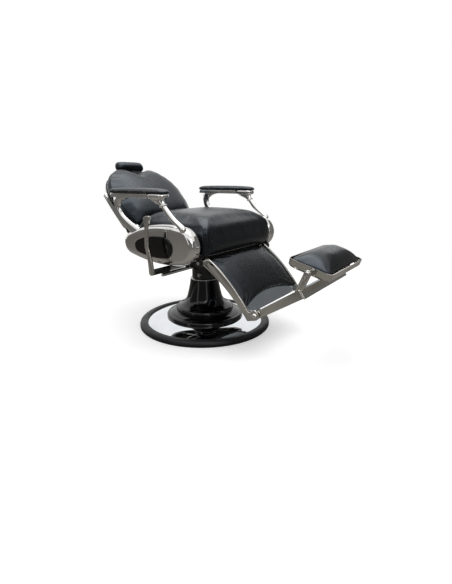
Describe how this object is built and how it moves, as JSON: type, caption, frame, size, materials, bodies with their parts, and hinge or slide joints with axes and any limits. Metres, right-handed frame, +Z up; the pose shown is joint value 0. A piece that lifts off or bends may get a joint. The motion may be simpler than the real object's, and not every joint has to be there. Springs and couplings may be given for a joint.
{
  "type": "barber chair",
  "caption": "Reclining barber chair on a lifting round base, with padded seat, back, headrest, arms, leg rest and folding footrest.",
  "frame": {"origin": "centre of the base on the floor, under the lifting column", "axes": "+Z up, the sitter faces -Y and has +X on the left; the back reclines towards +Y"},
  "size_m": [0.7695, 1.2847, 0.8148],
  "materials": {
    "chrome": "bright polished plating",
    "leather": "soft black upholstery with a low sheen",
    "black_gloss": "high-gloss black enamel",
    "inlay": "gloss black",
    "rubber": "smooth black rubber",
    "sleeve": "matt black",
    "steel": "plain machined steel",
    "iron": "rough casting",
    "black_steel": "satin black paint",
    "board": "dark-stained plywood"
  },
  "bodies": {
    "base": {"base_plate": "iron", "base_disc": "chrome", "base_ring": "rubber", "bell_skirt": "black_gloss", "bell_cover": "black_gloss", "bell_collar": "steel", "pump_cylinder": "steel", "base_bolts": "steel"},
    "lift": {"lift_ram": "steel", "thrust_bearing": "steel"},
    "pump": {"pump_lever": "chrome"},
    "clamp": {"clamp_screw": "steel"},
    "seat": {"column_sleeve": "black_gloss", "column_head": "black_gloss", "pump_yoke": "black_gloss", "swivel_hub": "iron", "seat_frame": "black_steel", "side_plate_right": "black_steel", "side_plate_left": "black_steel", "seat_board": "board", "seat_cushion": "leather", "side_shell_right": "chrome", "side_shell_left": "chrome", "side_inlays": "inlay", "shell_screws": "steel", "arm_front_post_right": "chrome", "arm_front_post_left": "chrome", "arm_rear_post_right": "chrome", "arm_rear_post_left": "chrome", "arm_rails": "chrome", "arm_caps": "chrome", "arm_pad_right": "leather", "arm_pad_left": "leather", "back_hinge_pins": "steel", "leg_hinge_pins": "steel", "recline_cylinder": "steel", "lever_spring": "steel"},
    "lever": {"recline_lever": "chrome", "lever_sleeve": "sleeve"},
    "back": {"back_cushion": "leather", "back_board": "board", "back_trim": "chrome", "back_cover": "sleeve", "back_arms": "chrome", "back_crank": "black_steel", "headrest_socket": "black_steel"},
    "headrest": {"headrest_bar": "chrome", "headrest_pad": "leather"},
    "lock_rod": {"recline_rod": "steel"},
    "leg": {"leg_rail_right": "chrome", "leg_rail_left": "chrome", "leg_panel": "chrome", "leg_pad": "leather"},
    "foot_arm": {"foot_bar": "chrome", "foot_brackets": "chrome", "foot_hinge_rod": "chrome"},
    "foot": {"foot_tray": "chrome", "foot_pad": "leather", "foot_pivots": "steel"}
  },
  "joints": [
    {"name": "lift_slide", "type": "slide", "parent": "base", "child": "lift", "axis": [0, 0, 1], "range_m": [0, 0.16]},
    {"name": "seat_swivel", "type": "hinge", "parent": "lift", "child": "seat", "pos_m": [0, 0, 0.36], "axis": [0, 0, 1], "continuous": true},
    {"name": "pump_stroke", "type": "hinge", "parent": "seat", "child": "pump", "pos_m": [-0.083, 0.008, 0.3149], "axis": [0, 1, 0], "range_deg": [-14, 5], "stiffness_Nm_per_rad": 25},
    {"name": "clamp_turn", "type": "hinge", "parent": "seat", "child": "clamp", "pos_m": [-0.0592, -0.02155, 0.2729], "axis": [-0.9397, -0.342, 0], "range_deg": [0, 90]},
    {"name": "recline_lever_turn", "type": "hinge", "parent": "seat", "child": "lever", "pos_m": [-0.4, -0.038, 0.3522], "axis": [1, 0, 0], "range_deg": [-16, 16], "stiffness_Nm_per_rad": 25},
    {"name": "back_recline", "type": "hinge", "parent": "seat", "child": "back", "pos_m": [0, 0.222, 0.5052], "axis": [1, 0, 0], "range_deg": [0, 35]},
    {"name": "leg_swing", "type": "hinge", "parent": "seat", "child": "leg", "pos_m": [0, -0.196, 0.3922], "axis": [1, 0, 0], "range_deg": [0, 25]},
    {"name": "lock_rod_slide", "type": "slide", "parent": "seat", "child": "lock_rod", "axis": [0, 1, 0], "range_m": [0, 0.09252]},
    {"name": "headrest_slide", "type": "slide", "parent": "back", "child": "headrest", "axis": [0, 0.6691, 0.7431], "range_m": [0, 0.1]},
    {"name": "foot_fold", "type": "hinge", "parent": "leg", "child": "foot_arm", "pos_m": [0, -0.45077, 0.19529], "axis": [1, 0, 0], "range_deg": [-40, 0]},
    {"name": "foot_flip", "type": "hinge", "parent": "foot_arm", "child": "foot", "pos_m": [0, -0.6598, 0.40034], "axis": [1, 0, 0], "range_deg": [-55, 50]}
  ],
  "couplings": [
    {"joint": "leg_swing", "follows": "back_recline", "ratio": 0.71429},
    {"joint": "lock_rod_slide", "follows": "back_recline", "m_per_rad": 0.15063}
  ]
}
